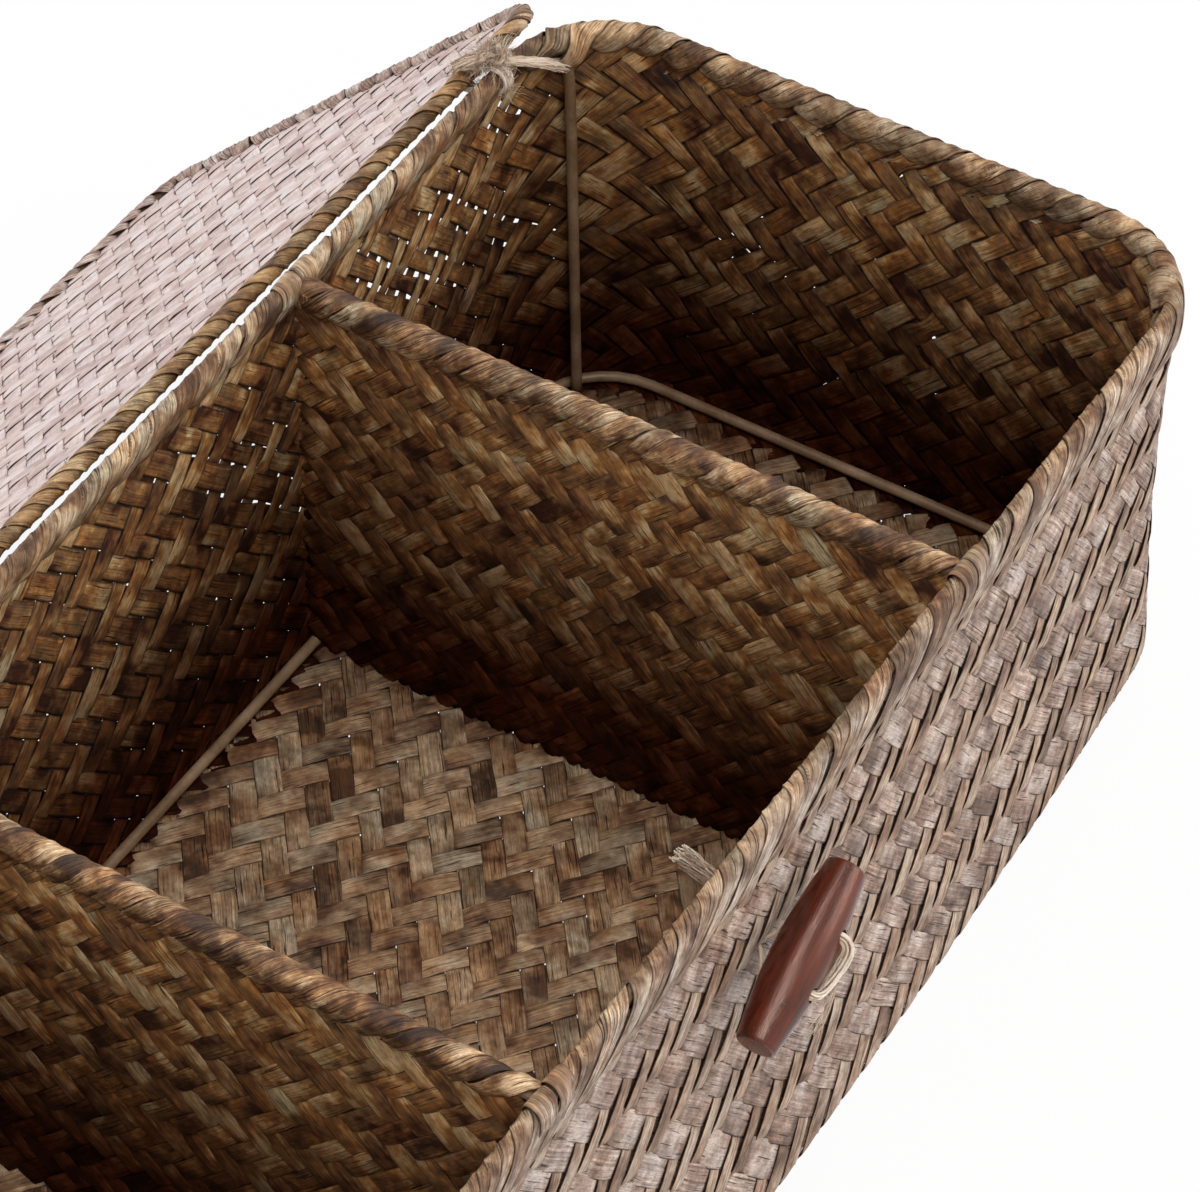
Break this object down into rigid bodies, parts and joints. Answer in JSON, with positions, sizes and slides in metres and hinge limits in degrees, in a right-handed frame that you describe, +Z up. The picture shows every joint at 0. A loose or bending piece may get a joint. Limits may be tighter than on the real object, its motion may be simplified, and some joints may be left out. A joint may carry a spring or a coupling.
{
  "type": "toilet paper basket",
  "caption": "Lidded rectangular woven sedge basket on a wire frame, with divided compartments, a tied-on lid and a wooden toggle.",
  "frame": {"origin": "middle of the woven underside, on the surface that the basket stands on", "axes": "+X along the basket's length, +Y towards the side where the lid is tied on, +Z up"},
  "size_m": [0.4242, 0.3264, 0.1282],
  "materials": {
    "sedge_outer": "dried sedge strips, plaited, matt, weathered on the outside",
    "sedge_inner": "dried sedge strips, plaited, matt, golden brown",
    "sedge_rim": "dried sedge strip wound over wire, satin",
    "sedge_lid": "dried sedge strips, plaited, matt, pale",
    "frame_paint": "brown painted steel wire, satin",
    "jute": "twisted jute cord, hairy",
    "toggle_wood": "red-brown varnished hardwood"
  },
  "bodies": {
    "basket": {"woven_body": "sedge_outer", "frame_top_ring": "frame_paint", "frame_base_ring": "frame_paint", "frame_post_back_right": "frame_paint", "frame_post_front_right": "frame_paint", "frame_post_back_left": "frame_paint", "frame_post_front_left": "frame_paint", "rim_wrap": "sedge_rim", "divider_panel_left": "sedge_inner", "divider_panel_right": "sedge_inner", "divider_rail_wire_left": "frame_paint", "divider_rail_wire_right": "frame_paint", "divider_rail_wrap_left": "sedge_rim", "divider_rail_wrap_right": "sedge_rim", "rail_lashing_back_left": "sedge_rim", "rail_lashing_back_right": "sedge_rim", "rail_lashing_front_left": "sedge_rim", "rail_lashing_front_right": "sedge_rim"},
    "hinge_ties": {"hinge_tie_left": "jute", "hinge_tie_right": "jute"},
    "lid": {"lid_panel": "sedge_lid", "lid_edge_wire": "frame_paint", "lid_edge_wrap": "sedge_rim"},
    "toggle": {"toggle": "toggle_wood", "toggle_cord": "jute"}
  },
  "joints": [
    {"name": "tie_swing", "type": "hinge", "parent": "basket", "child": "hinge_ties", "pos_m": [0, 0.088, 0.122], "axis": [1, 0, 0], "range_deg": [0, 141.5]},
    {"name": "lid_turn", "type": "hinge", "parent": "hinge_ties", "child": "lid", "pos_m": [0, 0.09646, 0.11838], "axis": [1, 0, 0], "range_deg": [0, 82.72]},
    {"name": "toggle_swivel", "type": "hinge", "parent": "basket", "child": "toggle", "pos_m": [-0.0025, -0.09905, 0.088], "axis": [0, -1, 0], "range_deg": [-18.5, 71.5]}
  ],
  "couplings": [
    {"joint": "lid_turn", "follows": "tie_swing", "ratio": 0.5845}
  ]
}
